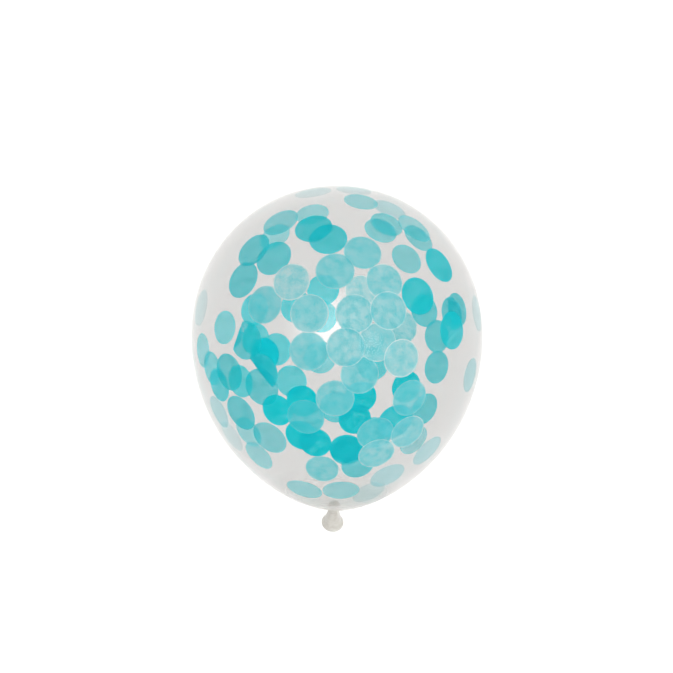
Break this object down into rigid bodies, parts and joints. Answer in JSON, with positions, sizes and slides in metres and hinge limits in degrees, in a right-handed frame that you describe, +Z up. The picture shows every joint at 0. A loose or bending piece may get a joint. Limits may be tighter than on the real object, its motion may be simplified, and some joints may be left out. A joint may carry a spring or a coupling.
{
  "type": "confetti balloon",
  "caption": "Clear latex party balloon, blown up and knotted, lying on its side on a small flat spot, with loose tissue confetti sealed inside.",
  "frame": {"origin": "middle of the small flat spot that the balloon rests on", "axes": "+Z up, +Y from the flat spot towards the crown, which is raised about 9 degrees; the knot and tail are at -Y"},
  "size_m": [0.29, 0.3513, 0.29],
  "materials": {
    "latex": "clear dipped latex, glossy, thin on the body and milky where it is thick at the knot and lip"
  },
  "bodies": {
    "root": {"balloon": "latex"}
  },
  "joints": []
}
